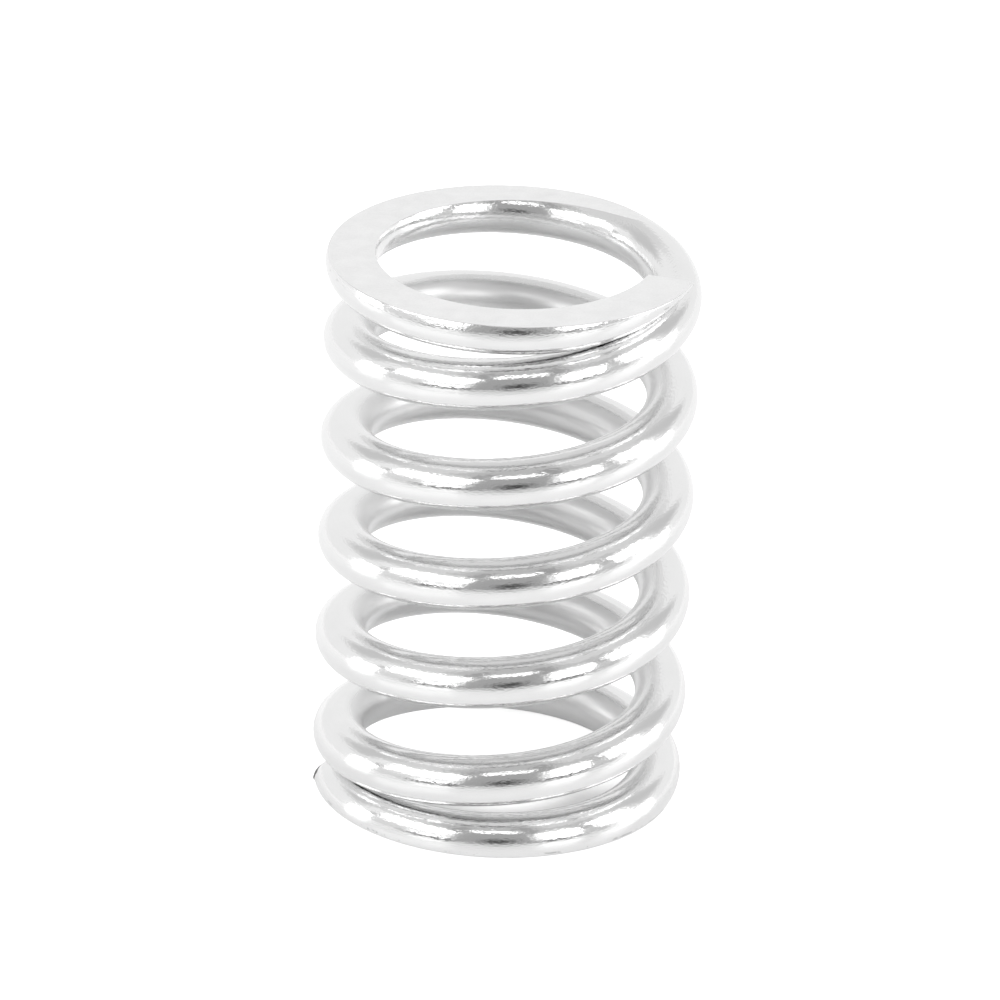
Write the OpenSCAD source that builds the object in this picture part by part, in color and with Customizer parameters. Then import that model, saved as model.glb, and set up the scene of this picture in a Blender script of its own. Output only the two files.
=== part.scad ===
// Compression coil spring of round wire, right-hand wound, with both ends closed and ground flat.
// It stands upright on its bottom ground face.
// The origin is the centre of that face, on the axis of the coils, with +Z along the axis.

/* [Wire] */
// Diameter of the wire, in millimetres
wire_d = 4; // [2.5:0.1:5]
// Outer diameter of the coils
outer_d = 29.2; // [22:0.2:60]

/* [Coils] */
// Free length, from one ground face to the other
free_length = 45; // [36:0.5:90]
// Turns of wire from the bottom tip to the top tip
total_turns = 6.46; // [4:0.02:9]
// Direction in which the bottom tip lies, in degrees about the axis
tip_angle = 178; // [0:1:359]

/* [Ends] */
// Turns at each end that are wound close, before the coils open
closed_turns = 0.74; // [0.5:0.01:0.75]
// Turns over which each end then opens to the full pitch
opening_turns = 0.2; // [0.1:0.01:0.25]
// Clearance between each tip and the coil that it lies against
tip_gap = 0.08; // [0.05:0.01:0.4]
// Thickness of wire that grinding leaves at the bottom tip
bottom_tip_t = 1.7; // [1:0.05:2.2]
// Thickness of wire that grinding leaves at the top tip
top_tip_t = 1.35; // [1:0.05:2.2]

/* [Smoothness] */
// Flat sides round the section of the wire
wire_sides = 24; // [16:4:32]
// Steps along one turn of the wire
steps_per_turn = 32; // [24:4:48]

/* [Hidden] */

wire_r = wire_d / 2;
mean_r = outer_d / 2 - wire_r;

// Height that the wire gains from each tip to the coil right above or below it
tip_rise = wire_d + tip_gap;

// Heights of the wire's centre at the two tips, where it lies off the ground faces
bottom_tip_z = bottom_tip_t - wire_r;
top_tip_z = free_length - (top_tip_t - wire_r);

// Both end turns gain the tip rise, and the turns between them share the rest
pitch = (top_tip_z - bottom_tip_z - 2 * tip_rise) / (total_turns - 2);

// Rise per turn in the closed stretch of each end, so that its whole turn gains the tip rise
lap_turns = closed_turns + opening_turns / 2;
closed_lead = (tip_rise - pitch * (1 - lap_turns)) / lap_turns;

// Share of the opening that a point is through, which goes from 0 to 1 without a kink
function opening_share(turns) = min(1, max(0, (turns - closed_turns) / opening_turns));
function opened(turns) =
    let (t = opening_share(turns))
    t * t * (3 - 2 * t);

// Sum of opened() from the tip, worked out exactly
function opened_turns(turns) =
    let (t = opening_share(turns), past = max(0, turns - closed_turns - opening_turns))
    opening_turns * (pow(t, 3) - pow(t, 4) / 2) + past;

// Height of the wire's centre and its rise per turn, at a number of turns from the bottom tip
function centre_z(turns) =
    let (low = opened_turns(turns),
         high = opened_turns(total_turns) - opened_turns(total_turns - turns))
    bottom_tip_z + closed_lead * turns + (pitch - closed_lead) * (low + high - turns);
function rise_per_turn(turns) =
    closed_lead + (pitch - closed_lead) * (opened(turns) + opened(total_turns - turns) - 1);

// One ring of points round the wire, square to its run
function wire_ring(turns) =
    let (a = tip_angle + 360 * turns,
         climb = atan2(rise_per_turn(turns), 2 * PI * mean_r),
         outward = [cos(a), sin(a), 0],
         upward = [sin(a) * sin(climb), -cos(a) * sin(climb), cos(climb)],
         centre = mean_r * outward + [0, 0, centre_z(turns)])
    [for (side = [0 : wire_sides - 1])
        let (s = 360 * side / wire_sides)
        centre + wire_r * (cos(s) * outward + sin(s) * upward)];

// The wire as it is wound, before its ends are ground
module wound_wire() {
    steps = ceil(total_turns * steps_per_turn);
    points = [for (step = [0 : steps]) each wire_ring(total_turns * step / steps)];
    walls = [
        for (step = [0 : steps - 1], side = [0 : wire_sides - 1])
            let (next = (side + 1) % wire_sides,
                 a = step * wire_sides + side,
                 b = step * wire_sides + next,
                 c = a + wire_sides,
                 d = b + wire_sides)
            each [[a, b, d], [a, d, c]]
    ];
    first_face = [for (side = [wire_sides - 1 : -1 : 0]) side];
    last_face = [for (side = [0 : wire_sides - 1]) steps * wire_sides + side];
    polyhedron(points = points, faces = concat(walls, [first_face, last_face]), convexity = 12);
}

// The space between the two grinding wheels
module ground_space() {
    width = outer_d + wire_d;
    translate([-width / 2, -width / 2, 0])
        cube([width, width, free_length]);
}

module spring() {
    color("silver")
        intersection() {
            wound_wire();
            ground_space();
        }
}

spring();
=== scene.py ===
import math
import bpy
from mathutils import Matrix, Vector


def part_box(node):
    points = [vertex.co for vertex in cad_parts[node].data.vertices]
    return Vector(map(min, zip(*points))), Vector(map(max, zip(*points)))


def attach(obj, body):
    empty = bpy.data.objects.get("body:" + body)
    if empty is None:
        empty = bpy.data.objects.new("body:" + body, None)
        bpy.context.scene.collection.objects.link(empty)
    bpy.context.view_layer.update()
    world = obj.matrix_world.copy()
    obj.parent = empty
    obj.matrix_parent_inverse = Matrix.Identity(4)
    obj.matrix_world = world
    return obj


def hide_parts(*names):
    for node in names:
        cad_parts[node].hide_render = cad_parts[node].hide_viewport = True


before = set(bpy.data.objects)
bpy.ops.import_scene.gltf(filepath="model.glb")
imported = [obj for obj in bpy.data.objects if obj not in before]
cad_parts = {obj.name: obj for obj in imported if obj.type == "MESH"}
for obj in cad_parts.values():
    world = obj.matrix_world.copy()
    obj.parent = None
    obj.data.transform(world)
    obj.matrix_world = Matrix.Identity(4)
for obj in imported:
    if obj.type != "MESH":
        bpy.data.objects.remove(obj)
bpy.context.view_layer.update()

MM = 0.001
RIGHT_ANGLE = math.pi / 2

# Sizes of the wire and its winding. Down to the top tip's thickness they are as the construction has them.
# The rest are small things of a real spring that the construction leaves out.
SIZES = {
    "Wire Diameter": 4.0 * MM,
    "Outer Diameter": 29.2 * MM,
    "Free Length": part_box("spring")[1].z,
    "Total Turns": 6.46,
    "Tip Angle": math.radians(178),
    "Closed Turns": 0.74,
    "Opening Turns": 0.2,
    "Tip Gap": 0.08 * MM,
    "Bottom Tip Thickness": 1.7 * MM,
    "Top Tip Thickness": 1.35 * MM,
    # Turns of wire that the bottom tip is cut shorter
    "Bottom Tip Trim": 0.02,
    # The bottom coil is wound a little tighter for some turns from its tip, and then widens over one turn
    "Bottom Coil Tightening": 0.19 * MM,
    "Tight Turns": 0.4,
    # How much closer the wire comes to the next coil over some turns from each tip, before that fades
    "Bottom Tip Lift": 0.4 * MM,
    "Top Tip Drop": 0.6 * MM,
    "Close Turns": 0.15,
    "Close Fading Turns": 0.3,
    # Slope of the top ground face, which is a little lower at the back
    "Top Face Slope": -0.026,
    "Ground Edge Rounding": 0.07 * MM,
    "Cut Edge Rounding": 0.08 * MM,
    # The burr that the shear leaves on the outer side of the bottom tip
    "Burr Height": 0.09 * MM,
    "Burr Width": 0.1 * MM,
}

# The burr and the torn edge fade out up to this angle of the section, over this much of it
TORN_TOP_ANGLE = 0.95
TORN_FADE_ANGLE = 0.55

# A ground flat narrower than twice this has not been ground
NARROWEST_REACH = 0.02 * MM

# Points of the mesh this close together are one point
SAME_PLACE = 0.001 * MM

# Rings of the mesh in a turn of the wire and in all, and those of them round each cut edge
RINGS_PER_TURN = 144
RINGS = round(SIZES["Total Turns"] * RINGS_PER_TURN)
TIP_RINGS = 4

# Columns of the mesh in each quarter of the section: those over half a ground flat,
# those round its edge, and the rest round the wire
FLAT_COLUMNS = 4
EDGE_COLUMNS = 4
ROUND_COLUMNS = 12
QUARTER_COLUMNS = FLAT_COLUMNS + EDGE_COLUMNS + ROUND_COLUMNS

# The camera, as the photograph was taken
PICTURE = 1000
SENSOR = 36.0
FOCAL_PIXELS = 12820
CAMERA_DISTANCE = 1.0
CAMERA_ELEVATION = math.radians(25.155)
CAMERA_ROLL = math.radians(1.989)
LOOK_AT = Vector((0, 0, 21 * MM))
LOOK_RIGHT = -0.381 * MM
LOOK_UP = 2.771 * MM

# The floor: its grey and roughness, its own glow as the camera sees it and as the metal mirrors it
# near the spring, and how much of the grey and of the seen glow the shade takes away
FLOOR_GREY = 0.9
FLOOR_ROUGHNESS = 0.15
FLOOR_SEEN = 0.7
FLOOR_MIRRORED = 0.15
SHADE_ON_GREY = 0.35
SHADE_ON_SEEN = 0.45

# The light of the world on everything, and how bright the metal mirrors most lamps, where 1 is white
WORLD_LIGHT = 0.8
BRIGHT_LAMP = 1.2

# The watts that make a square metre of lamp white, and how far lamps and cards stand from the spring
WATTS_FOR_WHITE = 4
LAMP_DISTANCE = 0.6
CARD_DISTANCE = 0.9
CARD_STEP = 10 * MM


# Numbers inside a node tree

class Quantity:
    """A number in a node tree. Sums, products and functions of it are Math nodes."""

    def __init__(self, tree, source):
        self.tree = tree
        self.source = source

    def math(self, operation, *others):
        return math_node(self.tree, operation, self, *others)

    def __add__(self, other):
        return self.math("ADD", other)

    def __radd__(self, other):
        return self.math("ADD", other)

    def __sub__(self, other):
        return self.math("SUBTRACT", other)

    def __rsub__(self, other):
        return math_node(self.tree, "SUBTRACT", other, self)

    def __mul__(self, other):
        return self.math("MULTIPLY", other)

    def __rmul__(self, other):
        return self.math("MULTIPLY", other)

    def __truediv__(self, other):
        return self.math("DIVIDE", other)

    def __neg__(self):
        return self.math("MULTIPLY", -1.0)

    def __pow__(self, other):
        return self.math("POWER", other)

    def sin(self):
        return self.math("SINE")

    def cos(self):
        return self.math("COSINE")

    def sqrt(self):
        return self.math("SQRT")

    def magnitude(self):
        return self.math("ABSOLUTE")

    def above(self, limit):
        """1 where it is above the limit, and 0 elsewhere"""
        return self.math("GREATER_THAN", limit)

    def at_least(self, limit):
        return self.math("MAXIMUM", limit)

    def at_most(self, limit):
        return self.math("MINIMUM", limit)

    def clamped(self):
        """Held between 0 and 1"""
        return self.at_least(0.0).at_most(1.0)

    def eased(self):
        """Held between 0 and 1, and smooth at both"""
        share = self.clamped()
        return share * share * (3.0 - 2.0 * share)

    def towards(self, other, share):
        """This number at share 0, and the other at share 1"""
        return self + (other - self) * share


def feed(tree, value, socket):
    """Links a quantity or a socket to a socket, or sets a plain value there"""
    if isinstance(value, Quantity):
        value = value.source
    if isinstance(value, bpy.types.NodeSocket):
        tree.links.new(value, socket)
    else:
        socket.default_value = value


def math_node(tree, operation, *terms):
    node = tree.nodes.new("ShaderNodeMath")
    node.operation = operation
    for term, socket in zip(terms, node.inputs):
        feed(tree, term, socket)
    return Quantity(tree, node.outputs[0])


def vector_of(tree, x, y, z):
    node = tree.nodes.new("ShaderNodeCombineXYZ")
    for term, socket in zip((x, y, z), node.inputs):
        feed(tree, term, socket)
    return node.outputs[0]


# The winding law of the wire

def opening_share(size, turns):
    """How far an end has opened to the full pitch, some turns from its tip"""
    return ((turns - size["Closed Turns"]) / size["Opening Turns"]).clamped()


def opened(size, turns):
    return opening_share(size, turns).eased()


def opened_turns(size, turns):
    """Sum of opened() from the tip"""
    share = opening_share(size, turns)
    past = (turns - size["Closed Turns"] - size["Opening Turns"]).at_least(0.0)
    return size["Opening Turns"] * (share ** 3.0 - share ** 4.0 / 2.0) + past


def winding(size, turns):
    """Height of the wire's centre, and its rise per turn, some turns from the bottom tip"""
    wire_r = size["Wire Diameter"] / 2.0
    tip_rise = size["Wire Diameter"] + size["Tip Gap"]
    bottom_tip_z = size["Bottom Tip Thickness"] - wire_r
    top_tip_z = size["Free Length"] - size["Top Tip Thickness"] + wire_r
    total = size["Total Turns"]
    pitch = (top_tip_z - bottom_tip_z - 2.0 * tip_rise) / (total - 2.0)
    lap_turns = size["Closed Turns"] + size["Opening Turns"] / 2.0
    closed_lead = (tip_rise - pitch * (1.0 - lap_turns)) / lap_turns
    from_top = total - turns
    opened_below = opened_turns(size, turns) + opened_turns(size, total) - opened_turns(size, from_top)
    height = bottom_tip_z + closed_lead * turns + (pitch - closed_lead) * (opened_below - turns)
    rise = closed_lead + (pitch - closed_lead) * (opened(size, turns) + opened(size, from_top) - 1.0)
    return height, rise


def close_to_next(size, turns):
    """How much of its lift towards the next coil the wire has, some turns from a tip"""
    fading = (turns - size["Close Turns"]) / size["Close Fading Turns"]
    return (turns / size["Close Turns"]).eased() * (1.0 - fading.eased())


# The section of the wire

def ground_edge(size, radius, cut):
    """Where grinding at a height above the wire's centre meets the round wire: the height and the reach
    of the centre of the edge's rounding, and the angle where the rounding meets the wire"""
    rounding = size["Ground Edge Rounding"]
    height = cut.at_most(radius) - rounding
    reach = ((radius - rounding) ** 2.0 - height ** 2.0).at_least(0.0).sqrt()
    return height, reach, height.math("ARCTAN2", reach)


def section_point(size, column, radius, top_cut, bottom_cut):
    """A point of the section, outwards and upwards from the wire's centre. Then how much of it is ground,
    and how much of the top face's slope it takes. Column 0 is the outermost, and the columns go up
    and inwards from it."""
    in_top = 1.0 - column.above(2 * QUARTER_COLUMNS - 0.5)
    upwards = in_top * 2.0 - 1.0
    outwards = (column - 2.0 * QUARTER_COLUMNS).magnitude().above(QUARTER_COLUMNS) * 2.0 - 1.0
    step = (column.math("MODULO", 2.0 * QUARTER_COLUMNS) - float(QUARTER_COLUMNS)).magnitude()
    top = ground_edge(size, radius, top_cut)
    bottom = ground_edge(size, radius, bottom_cut)
    height, reach, edge_angle = (low.towards(high, in_top) for high, low in zip(top, bottom))
    over_flat = (step / FLAT_COLUMNS).clamped()
    over_edge = ((step - float(FLAT_COLUMNS)) / EDGE_COLUMNS).clamped()
    over_round = ((step - float(FLAT_COLUMNS + EDGE_COLUMNS)) / ROUND_COLUMNS).clamped()
    rounding = size["Ground Edge Rounding"]
    edge_turn = RIGHT_ANGLE - (RIGHT_ANGLE - edge_angle) * over_edge
    x = reach * (over_flat * RIGHT_ANGLE).sin() + rounding * edge_turn.cos()
    y = height + rounding * edge_turn.sin()
    side_angle = (top[2] - bottom[2]) / 2.0 * upwards
    round_angle = edge_angle.towards(side_angle, over_round)
    is_round = over_round.above(0.0)
    x = x.towards(radius * round_angle.cos(), is_round) * outwards
    y = y.towards(radius * round_angle.sin(), is_round) * upwards
    ground = (1.0 - over_edge) * reach.above(NARROWEST_REACH)
    return x, y, ground, in_top * (1.0 - over_round)


# The mesh of the spring

def add_sizes(tree):
    """Gives the tree an input for each size, and returns them as quantities"""
    tree.interface.new_socket("Geometry", in_out="OUTPUT", socket_type="NodeSocketGeometry")
    for name, value in SIZES.items():
        socket = tree.interface.new_socket(name, in_out="INPUT", socket_type="NodeSocketFloat")
        socket.default_value = value
    inputs = tree.nodes.new("NodeGroupInput")
    return {name: Quantity(tree, inputs.outputs[name]) for name in SIZES}


def counted_curve(tree, kind, points, label):
    """A curve of a number of points, which keeps each point's number"""
    nodes, links = tree.nodes, tree.links
    curve = nodes.new(kind)
    if kind == "GeometryNodeCurvePrimitiveLine":
        curve.inputs["End"].default_value = (0, 0, 1)
        resample = nodes.new("GeometryNodeResampleCurve")
        resample.inputs["Count"].default_value = points
        links.new(curve.outputs[0], resample.inputs["Curve"])
        curve = resample
    else:
        curve.inputs["Resolution"].default_value = points
        curve.inputs["Radius"].default_value = MM
    capture = nodes.new("GeometryNodeCaptureAttribute")
    capture.capture_items.new("FLOAT", label)
    links.new(curve.outputs[0], capture.inputs["Geometry"])
    links.new(nodes.new("GeometryNodeInputIndex").outputs[0], capture.inputs[label])
    return capture.outputs["Geometry"], Quantity(tree, capture.outputs[label])


def store(tree, geometry, name, kind, value):
    """Keeps a value on the mesh's points, where the materials read it"""
    node = tree.nodes.new("GeometryNodeStoreNamedAttribute")
    node.data_type = kind
    node.inputs["Name"].default_value = name
    tree.links.new(geometry, node.inputs["Geometry"])
    feed(tree, value, node.inputs["Value"])
    return node.outputs[0]


def named_number(tree, name):
    """A number that is kept on the mesh's points"""
    node = tree.nodes.new("GeometryNodeInputNamedAttribute")
    node.data_type = "FLOAT"
    node.inputs["Name"].default_value = name
    return Quantity(tree, node.outputs[0])


def swept_wire(tree):
    """A tube along a line, with closed ends, and the number of each of its rings and columns"""
    rail, ring = counted_curve(tree, "GeometryNodeCurvePrimitiveLine", RINGS, "Ring")
    profile, column = counted_curve(tree, "GeometryNodeCurvePrimitiveCircle", 4 * QUARTER_COLUMNS, "Column")
    sweep = tree.nodes.new("GeometryNodeCurveToMesh")
    sweep.inputs["Fill Caps"].default_value = True
    tree.links.new(rail, sweep.inputs["Curve"])
    tree.links.new(profile, sweep.inputs["Profile Curve"])
    return sweep.outputs[0], ring, column


def wire_ring(size, ring):
    """Turns from the bottom tip, length from it and from the nearest tip,
    and how far the rounding of a cut draws the wire in"""
    rounding = size["Cut Edge Rounding"]
    last = RINGS - 1.0
    from_start = (ring / TIP_RINGS).at_most(1.0) * RIGHT_ANGLE
    from_end = ((last - ring) / TIP_RINGS).at_most(1.0) * RIGHT_ANGLE
    share = ((ring - float(TIP_RINGS)) / (last - 2.0 * TIP_RINGS)).clamped()
    turn_length = (size["Outer Diameter"] - size["Wire Diameter"]) * math.pi
    length = (size["Total Turns"] - size["Bottom Tip Trim"]) * turn_length
    over_start = rounding * (1.0 - from_start.cos())
    over_end = rounding * from_end.cos()
    along = over_start + share * (length - 2.0 * rounding) + over_end
    drawn_in = rounding * (1.0 - from_start.sin() * from_end.sin())
    turns = along / turn_length + size["Bottom Tip Trim"]
    return turns, along, along.at_most(length - along), drawn_in


def torn_share(outwards, upwards):
    """1 a little above the outermost side of the section, where the shear leaves its burr, and 0 elsewhere"""
    angle = upwards.math("ARCTAN2", outwards)
    return ((TORN_TOP_ANGLE - angle) / TORN_FADE_ANGLE).eased() * angle.above(0.0)


def wound_point(tree, size, ring, column):
    """Where a point of the tube comes to lie, how much of it is ground, its length from the nearest tip,
    and its place in the wire's own space: outwards, upwards and along"""
    turns, along, from_tip, drawn_in = wire_ring(size, ring)
    height, rise = winding(size, turns)
    lift = size["Bottom Tip Lift"] * close_to_next(size, turns)
    drop = size["Top Tip Drop"] * close_to_next(size, size["Total Turns"] - turns)
    height = height + lift - drop
    tightening = size["Bottom Coil Tightening"] * (1.0 - (turns - size["Tight Turns"]).eased())
    mean_r = (size["Outer Diameter"] - size["Wire Diameter"]) / 2.0 - tightening
    angle = size["Tip Angle"] + turns * math.tau
    climb = rise.math("ARCTAN2", mean_r * math.tau)
    slope = size["Top Face Slope"] * angle.sin()
    radius = size["Wire Diameter"] / 2.0 - drawn_in
    top_cut = (size["Free Length"] + slope * mean_r - height) / climb.cos() - drawn_in
    bottom_cut = height / climb.cos() - drawn_in
    x, y, ground, leaning = section_point(size, column, radius, top_cut, bottom_cut)
    # The top of the section turns a little with the slope of the ground face
    lean = slope * leaning
    x, y = x - y * lean, y + x * lean
    x = x + size["Burr Height"] * torn_share(x, y) * (1.0 - along.above(size["Burr Width"]))
    out = mean_r + x
    place = vector_of(
        tree,
        out * angle.cos() + y * angle.sin() * climb.sin(),
        out * angle.sin() - y * angle.cos() * climb.sin(),
        height + y * climb.cos(),
    )
    return place, ground, from_tip, vector_of(tree, x, y, along)


def moved_and_closed(tree, mesh, place):
    """The mesh with its points at their places, its doubles merged and its faces outwards"""
    nodes, links = tree.nodes, tree.links
    move = nodes.new("GeometryNodeSetPosition")
    links.new(mesh, move.inputs["Geometry"])
    links.new(place, move.inputs["Position"])
    merge = nodes.new("GeometryNodeMergeByDistance")
    merge.inputs["Distance"].default_value = SAME_PLACE
    links.new(move.outputs[0], merge.inputs["Geometry"])
    # The sweep leaves the faces inwards, so they are turned round
    outwards = nodes.new("GeometryNodeFlipFaces")
    links.new(merge.outputs[0], outwards.inputs["Mesh"])
    return outwards.outputs[0]


def painted(tree, geometry, finish, where=True):
    """The geometry with a finish on its faces, or on those where a number is 1"""
    paint = tree.nodes.new("GeometryNodeSetMaterial")
    paint.inputs["Material"].default_value = finish
    tree.links.new(geometry, paint.inputs["Geometry"])
    feed(tree, where, paint.inputs["Selection"])
    return paint.outputs[0]


def spring_tree(wire_finish, ground_finish, cut_finish):
    """Geometry Nodes that wind the wire, grind its two ends and give each face its finish"""
    tree = bpy.data.node_groups.new("Compression spring", "GeometryNodeTree")
    nodes, links = tree.nodes, tree.links
    size = add_sizes(tree)
    mesh, ring, column = swept_wire(tree)
    place, ground, from_tip, wire_space = wound_point(tree, size, ring, column)
    mesh = store(tree, mesh, "ground", "FLOAT", ground)
    mesh = store(tree, mesh, "from_tip", "FLOAT", from_tip)
    mesh = store(tree, mesh, "wire_space", "FLOAT_VECTOR", wire_space)
    mesh = moved_and_closed(tree, mesh, place)

    is_ground = named_number(tree, "ground").above(0.99)
    is_cut = 1.0 - named_number(tree, "from_tip").above(2 * SAME_PLACE)
    smooth = nodes.new("GeometryNodeSetShadeSmooth")
    links.new(mesh, smooth.inputs["Geometry"])
    feed(tree, 1.0 - is_ground.at_least(is_cut), smooth.inputs["Shade Smooth"])
    realize = nodes.new("GeometryNodeRealizeInstances")
    links.new(smooth.outputs[0], realize.inputs["Geometry"])
    geometry = painted(tree, realize.outputs[0], wire_finish)
    geometry = painted(tree, geometry, ground_finish, is_ground)
    geometry = painted(tree, geometry, cut_finish, is_cut)
    links.new(geometry, nodes.new("NodeGroupOutput").inputs[0])
    return tree


def built(name, tree):
    """The plain mesh object that a tree makes"""
    piece = bpy.data.objects.new(name, bpy.data.meshes.new(name))
    bpy.context.scene.collection.objects.link(piece)
    modifier = piece.modifiers.new("Build", "NODES")
    modifier.node_group = tree
    for item in tree.interface.items_tree:
        if item.in_out == "INPUT":
            modifier[item.identifier] = SIZES[item.name]
    depsgraph = bpy.context.evaluated_depsgraph_get()
    mesh = bpy.data.meshes.new_from_object(piece.evaluated_get(depsgraph), depsgraph=depsgraph)
    piece.modifiers.remove(modifier)
    piece.data = mesh
    mesh.name = name
    return piece


# Finishes

def new_material(name):
    material = bpy.data.materials.new(name)
    material.use_nodes = True
    tree = material.node_tree
    tree.nodes.clear()
    return material, tree


def attribute(tree, name, output):
    node = tree.nodes.new("ShaderNodeAttribute")
    node.attribute_name = name
    return node.outputs[output]


def noise(tree, where, grain, detail=2.0):
    """Noise whose grains are about that size, in metres"""
    node = tree.nodes.new("ShaderNodeTexNoise")
    feed(tree, where, node.inputs["Vector"])
    node.inputs["Scale"].default_value = 1 / grain
    node.inputs["Detail"].default_value = detail
    return Quantity(tree, node.outputs["Fac"])


def stretched(tree, where, factors):
    """The coordinates, drawn out along an axis whose factor is below 1"""
    node = tree.nodes.new("ShaderNodeVectorMath")
    node.operation = "MULTIPLY"
    feed(tree, where, node.inputs[0])
    node.inputs[1].default_value = factors
    return node.outputs[0]


def bumped(tree, height, depth, under=None):
    node = tree.nodes.new("ShaderNodeBump")
    feed(tree, depth, node.inputs["Distance"])
    feed(tree, height, node.inputs["Height"])
    if under is not None:
        tree.links.new(under, node.inputs["Normal"])
    return node.outputs[0]


def metal(tree, grey, roughness, normal, mirror=1.0):
    """A metal surface of a grey colour. Where mirror is below 1, the rest is matt."""
    shader = tree.nodes.new("ShaderNodeBsdfPrincipled")
    shader.inputs["Metallic"].default_value = mirror
    colour = tree.nodes.new("ShaderNodeCombineColor")
    for channel in colour.inputs:
        feed(tree, grey, channel)
    tree.links.new(colour.outputs[0], shader.inputs["Base Color"])
    feed(tree, roughness, shader.inputs["Roughness"])
    tree.links.new(normal, shader.inputs["Normal"])
    return shader.outputs[0]


def finished(tree, shader):
    output = tree.nodes.new("ShaderNodeOutputMaterial")
    tree.links.new(shader, output.inputs["Surface"])


def parts_of(tree, vector):
    """The three numbers of a vector"""
    split = tree.nodes.new("ShaderNodeSeparateXYZ")
    tree.links.new(vector, split.inputs[0])
    return [Quantity(tree, output) for output in split.outputs]


def object_place(tree):
    return tree.nodes.new("ShaderNodeTexCoord").outputs["Object"]


def bare_metal(tree, where, from_ground):
    """How bare the metal is: fully on the torn edge of the bottom tip, and half in chips on the outer side
    of the wire, in a narrow band beside each ground face"""
    torn_width = 0.3 * MM
    band_middle, band_reach = 0.3 * MM, 0.14 * MM
    outer_side = 1.5 * MM
    outwards, upwards, along = parts_of(tree, where)
    ragged = noise(tree, where, 0.25 * MM, 3.0)
    patches = noise(tree, where, 1.8 * MM, 1.0)
    torn = (torn_share(outwards, upwards) * (1.0 + ragged) * torn_width - along).above(0.0)
    chipped = ((ragged * 0.5 + patches * 0.5 - 0.55) / 0.04).clamped() * 0.5
    chipped = chipped * (1.0 - (from_ground - band_middle).magnitude() / band_reach).clamped()
    return torn.at_least(chipped * (outwards - outer_side).above(0.0))


def bright_zinc(tree):
    """Bright zinc plate over drawn wire: faint lines along the wire, fine grain and slow waves.
    It is duller and smoother on the side that faces the axis, with painted shade there, and rough beside the
    ground faces."""
    where = attribute(tree, "wire_space", "Vector")
    outwards = parts_of(tree, where)[0] / (SIZES["Wire Diameter"] / 2)
    height = parts_of(tree, object_place(tree))[2]
    from_top = SIZES["Free Length"] - height
    from_ground = height.at_most(from_top).at_least(0.0)
    below_top_ring = 1.2 * MM
    rough_band = 0.8 * MM
    # Near 1 on the side that faces the axis, below the top ring: rougher there, with less grain, and painted
    # darker as shade
    inside = ((-outwards - 0.1) / 0.6).eased() * ((from_top - below_top_ring) / below_top_ring).eased()
    by_edge = (1.0 - from_ground / rough_band).eased()
    bare = bare_metal(tree, where, from_ground)
    lines = noise(tree, stretched(tree, where, (1, 1, 0.04)), 0.16 * MM)
    grain = noise(tree, stretched(tree, where, (1, 1, 0.4)), 0.14 * MM, 1.0)
    waves = noise(tree, stretched(tree, where, (1, 1, 0.5)), 1.4 * MM, 1.0)
    cloud = noise(tree, where, 2.5 * MM)
    # The grey is painted darker on the side that faces the axis, as shade, and much darker where the metal is
    # bare
    grey = 0.78 + cloud * 0.05 + lines * 0.02 - inside * 0.05 - bare * 0.66
    roughness = 0.07 + cloud * 0.06 + grain * 0.05 + inside * 0.25 + bare * 0.3
    normal = bumped(tree, waves, 0.01 * MM)
    normal = bumped(tree, lines, 0.002 * MM, normal)
    normal = bumped(tree, grain, 0.011 * MM + by_edge * (0.008 * MM) - inside * (0.009 * MM), normal)
    return metal(tree, grey, roughness, normal)


def wire_finish():
    material, tree = new_material("bright_zinc_plate")
    finished(tree, bright_zinc(tree))
    return material


def ground_finish():
    """The faces that grinding leaves: matt and even, with faint straight marks"""
    material, tree = new_material("ground_end_face")
    where = object_place(tree)
    marks = noise(tree, stretched(tree, where, (0.08, 1, 1)), 0.12 * MM)
    grain = noise(tree, where, 0.15 * MM)
    cloud = noise(tree, where, 1.6 * MM, 3.0)
    grey = 0.73 + cloud * 0.13 + marks * 0.03 + grain * 0.12
    roughness = 0.42 + grain * 0.15
    normal = bumped(tree, marks, 0.003 * MM)
    normal = bumped(tree, grain, 0.014 * MM, normal)
    finished(tree, metal(tree, grey, roughness, normal, 0.4))
    return material


def cut_finish():
    """The sheared ends of the wire: rough and darker, with lines down the shear"""
    material, tree = new_material("sheared_wire_end")
    where = object_place(tree)
    tears = noise(tree, stretched(tree, where, (1, 1, 0.15)), 0.25 * MM, 4.0)
    grey = 0.42 + tears * 0.25
    finished(tree, metal(tree, grey, 0.35 + tears * 0.2, bumped(tree, tears, 0.08 * MM)))
    return material


# The studio

def direction(azimuth, elevation):
    """Azimuth is 0 towards the camera and grows to the right of the picture"""
    a, e = math.radians(azimuth), math.radians(elevation)
    return Vector((math.sin(a) * math.cos(e), -math.cos(a) * math.cos(e), math.sin(e)))


def softbox(name, azimuth, elevation, width, height, brightness):
    """A flat lamp that faces the spring. Its width and height are in degrees, as seen from there."""
    lamp = bpy.data.lights.new(name, "AREA")
    lamp.shape = "RECTANGLE"
    lamp.size = 2 * LAMP_DISTANCE * math.tan(math.radians(width / 2))
    lamp.size_y = 2 * LAMP_DISTANCE * math.tan(math.radians(height / 2))
    lamp.energy = WATTS_FOR_WHITE * lamp.size * lamp.size_y * brightness
    placed = bpy.data.objects.new(name, lamp)
    towards = direction(azimuth, elevation)
    placed.location = LOOK_AT + towards * LAMP_DISTANCE
    placed.rotation_euler = (-towards).to_track_quat("-Z", "Y").to_euler()
    placed.visible_camera = False
    bpy.context.scene.collection.objects.link(placed)


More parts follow.
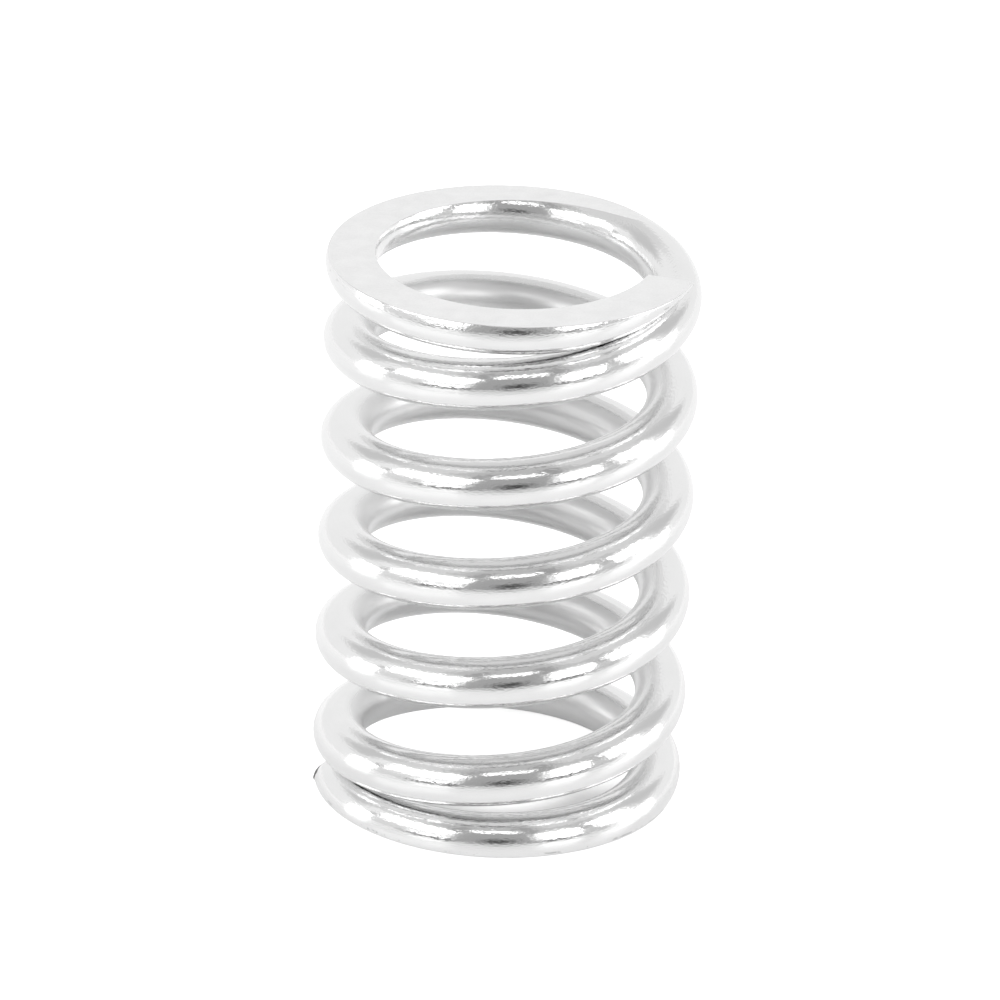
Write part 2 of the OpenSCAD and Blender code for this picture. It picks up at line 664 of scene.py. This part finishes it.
def card_mesh(name, distance, azimuths, elevations, steps=24):
    """A patch of a sphere round the spring, with a UV map from 0 to 1 over it"""
    corners = [(i / steps, j / steps) for i in range(steps + 1) for j in range(steps + 1)]
    points = [
        LOOK_AT + distance * direction(
            azimuths[0] + (azimuths[1] - azimuths[0]) * u,
            elevations[0] + (elevations[1] - elevations[0]) * v,
        )
        for u, v in corners
    ]
    row = steps + 1
    faces = [
        (i * row + j, i * row + j + 1, (i + 1) * row + j + 1, (i + 1) * row + j)
        for i in range(steps)
        for j in range(steps)
    ]
    mesh = bpy.data.meshes.new(name)
    mesh.from_pydata(points, [], faces)
    layer = mesh.uv_layers.new(name="extent")
    for loop in mesh.loops:
        layer.data[loop.index].uv = corners[loop.vertex_index]
    return mesh


def card_material(name, brightness, soft):
    """A grey card that fades out over a share of its width and height at each edge"""
    material, tree = new_material(name)
    uv = tree.nodes.new("ShaderNodeUVMap")
    uv.uv_map = "extent"
    split = tree.nodes.new("ShaderNodeSeparateXYZ")
    tree.links.new(uv.outputs[0], split.inputs[0])
    cover = 1.0
    for axis, share in zip(split.outputs, soft):
        inside = 0.5 - (Quantity(tree, axis) - 0.5).magnitude()
        cover = (inside / max(share, 0.001)).eased() * cover
    glow = tree.nodes.new("ShaderNodeEmission")
    glow.inputs["Strength"].default_value = brightness
    clear = tree.nodes.new("ShaderNodeBsdfTransparent")
    mix = tree.nodes.new("ShaderNodeMixShader")
    feed(tree, cover, mix.inputs[0])
    tree.links.new(clear.outputs[0], mix.inputs[1])
    tree.links.new(glow.outputs[0], mix.inputs[2])
    finished(tree, mix.outputs[0])
    material.cycles.emission_sampling = "NONE"
    return material


def card(name, distance, azimuths, elevations, brightness, soft):
    """A grey card round the spring that only the metal mirrors"""
    mesh = card_mesh(name, distance, azimuths, elevations)
    mesh.materials.append(card_material(name, brightness, soft))
    placed = bpy.data.objects.new(name, mesh)
    placed.visible_camera = False
    placed.visible_diffuse = False
    placed.visible_shadow = False
    bpy.context.scene.collection.objects.link(placed)


def mirrored_or_seen(tree, seen, mirrored, otherwise):
    """One number for camera rays, one for mirrored and refracted rays, and one for all others"""
    path = tree.nodes.new("ShaderNodeLightPath")
    camera = Quantity(tree, path.outputs["Is Camera Ray"])
    glossy = Quantity(tree, path.outputs["Is Glossy Ray"])
    through = Quantity(tree, path.outputs["Is Transmission Ray"])
    share = glossy.at_least(through)
    return camera * (seen - otherwise) + share * (mirrored - otherwise) + otherwise


def make_world():
    """White where it is seen or mirrored, and a plain level of light on everything"""
    world = bpy.data.worlds.new("studio")
    bpy.context.scene.world = world
    world.use_nodes = True
    tree = world.node_tree
    background = tree.nodes["Background"]
    background.inputs["Color"].default_value = (1, 1, 1, 1)
    feed(tree, mirrored_or_seen(tree, 1.0, 1.0, WORLD_LIGHT), background.inputs["Strength"])


def shaded_floor(tree):
    """1 on the floor close to the inner side of the spring's front, where the wire keeps the light off"""
    wire_middle = (SIZES["Outer Diameter"] - SIZES["Wire Diameter"]) / 2
    bright_middle, middle_fade = 4 * MM, 3.5 * MM
    shade_end, end_fade = 1.5 * MM, 5 * MM
    x, y, _ = parts_of(tree, object_place(tree))
    from_axis = (x * x + y * y).sqrt()
    off_middle = ((from_axis - bright_middle) / middle_fade).eased()
    return off_middle * ((shade_end - y) / end_fade).eased() * (1.0 - from_axis.above(wire_middle))


def far_in_front(tree):
    """1 on the floor well in front of the spring, where it mirrors darker, and 0 near it"""
    start, fade = 65 * MM, 50 * MM
    y = parts_of(tree, object_place(tree))[1]
    return ((-y - start) / fade).eased()


def make_floor():
    """A white sheet, glossy enough to mirror the room at a low angle"""
    half = 3.0
    drop = 0.02 * MM
    corners = [(x * half, y * half, -drop) for x, y in ((-1, -1), (1, -1), (1, 1), (-1, 1))]
    mesh = bpy.data.meshes.new("floor")
    mesh.from_pydata(corners, [], [(0, 1, 2, 3)])
    material, tree = new_material("white_floor")
    sheet = tree.nodes.new("ShaderNodeBsdfPrincipled")
    shade = shaded_floor(tree)
    seen = FLOOR_SEEN - SHADE_ON_SEEN * shade
    mirrored = FLOOR_MIRRORED * (1.0 - far_in_front(tree))
    grey = tree.nodes.new("ShaderNodeCombineColor")
    for channel in grey.inputs:
        feed(tree, FLOOR_GREY - SHADE_ON_GREY * shade, channel)
    tree.links.new(grey.outputs[0], sheet.inputs["Base Color"])
    sheet.inputs["Roughness"].default_value = FLOOR_ROUGHNESS
    sheet.inputs["Emission Color"].default_value = (1, 1, 1, 1)
    feed(tree, mirrored_or_seen(tree, seen, mirrored, 0.0), sheet.inputs["Emission Strength"])
    finished(tree, sheet.outputs[0])
    mesh.materials.append(material)
    floor = bpy.data.objects.new("floor", mesh)
    bpy.context.scene.collection.objects.link(floor)


# The lamps: azimuth, elevation, width and height in degrees, and how bright the metal mirrors each
SOFTBOXES = {
    "left_long_softbox": (-55.5, 33, 46, 23, BRIGHT_LAMP),
    "left_low_softbox": (-93.3, 6, 20.5, 24, BRIGHT_LAMP),
    "left_small_softbox": (-41, 8, 22, 6, 1.0),
    "right_front_softbox": (41.5, 21.5, 24, 30, BRIGHT_LAMP),
    "right_high_softbox": (79.5, 26, 25, 31, BRIGHT_LAMP),
    "right_low_softbox": (95, 0, 28, 30, BRIGHT_LAMP),
    "overhead_strip": (-1, 50.5, 24, 9, BRIGHT_LAMP),
}

# What else the metal mirrors. Each card has its azimuths and elevations in degrees, its brightness,
# and the share of its width and height over which it fades out. The nearest card comes last.
CARDS = {
    "ceiling": ((-180, 180), (38, 91), 0.79, (0, 0.12)),
    "back_left_wall": ((-150, -98), (20, 57), 0.67, (0.3, 0.3)),
    "back_right_wall": ((94, 140), (14, 56), 0.66, (0.3, 0.3)),
    "front_ceiling": ((-70, 52), (50, 91), 0.58, (0.15, 0.12)),
    "right_ceiling_edge": ((18, 84), (43, 55), 0.6, (0.15, 0.3)),
    "left_gap": ((-84, -54), (-10, 20), 0.82, (0.15, 0.3)),
    "right_gap": ((50, 72), (-6, 48), 0.48, (0.05, 0.2)),
    "right_gap_low": ((50, 72), (-8, 31), 0.66, (0.05, 0.35)),
    "left_frame": ((-91, -79), (8, 30), 0.5, (0.4, 0.3)),
    "floor_line": ((-66, 60), (-3, 5.5), 0.1, (0.15, 0.35)),
    "left_column": ((-42, -22), (36, 68), 0.38, (0.4, 0.2)),
    "right_column": ((11, 36), (34, 72), 0.36, (0.4, 0.2)),
    "camera_side": ((-28, 25), (-6, 57), 0.43, (0.08, 0.14)),
    "camera_side_core": ((-14, 18), (-6, 24), 0.05, (0.48, 0.45)),
}


def make_studio():
    for name, lamp_values in SOFTBOXES.items():
        softbox(name, *lamp_values)
    for number, (name, card_values) in enumerate(CARDS.items()):
        card(name, CARD_DISTANCE - number * CARD_STEP, *card_values)


# The camera

def make_camera():
    """The camera stands in front of the spring, looks down on it and is rolled a little"""
    back = Vector((0, -math.cos(CAMERA_ELEVATION), math.sin(CAMERA_ELEVATION)))
    level_up = Vector((0, math.sin(CAMERA_ELEVATION), math.cos(CAMERA_ELEVATION)))
    level_right = Vector((1, 0, 0))
    right = level_right * math.cos(CAMERA_ROLL) + level_up * math.sin(CAMERA_ROLL)
    up = level_up * math.cos(CAMERA_ROLL) - level_right * math.sin(CAMERA_ROLL)
    lens = bpy.data.cameras.new("camera")
    lens.sensor_width = SENSOR
    lens.lens = FOCAL_PIXELS * SENSOR / PICTURE
    lens.clip_start = 0.01
    lens.clip_end = 20
    camera = bpy.data.objects.new("camera", lens)
    place = LOOK_AT + right * LOOK_RIGHT + up * LOOK_UP + back * CAMERA_DISTANCE
    camera.matrix_world = (
        (right.x, right.y, right.z, 0),
        (up.x, up.y, up.z, 0),
        (back.x, back.y, back.z, 0),
        (place.x, place.y, place.z, 1),
    )
    bpy.context.scene.collection.objects.link(camera)
    bpy.context.scene.camera = camera


bpy.context.scene.view_settings.view_transform = "Standard"
make_camera()
make_world()
make_floor()
make_studio()

spring = built("wound_spring", spring_tree(wire_finish(), ground_finish(), cut_finish()))
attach(spring, "root")
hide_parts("spring")
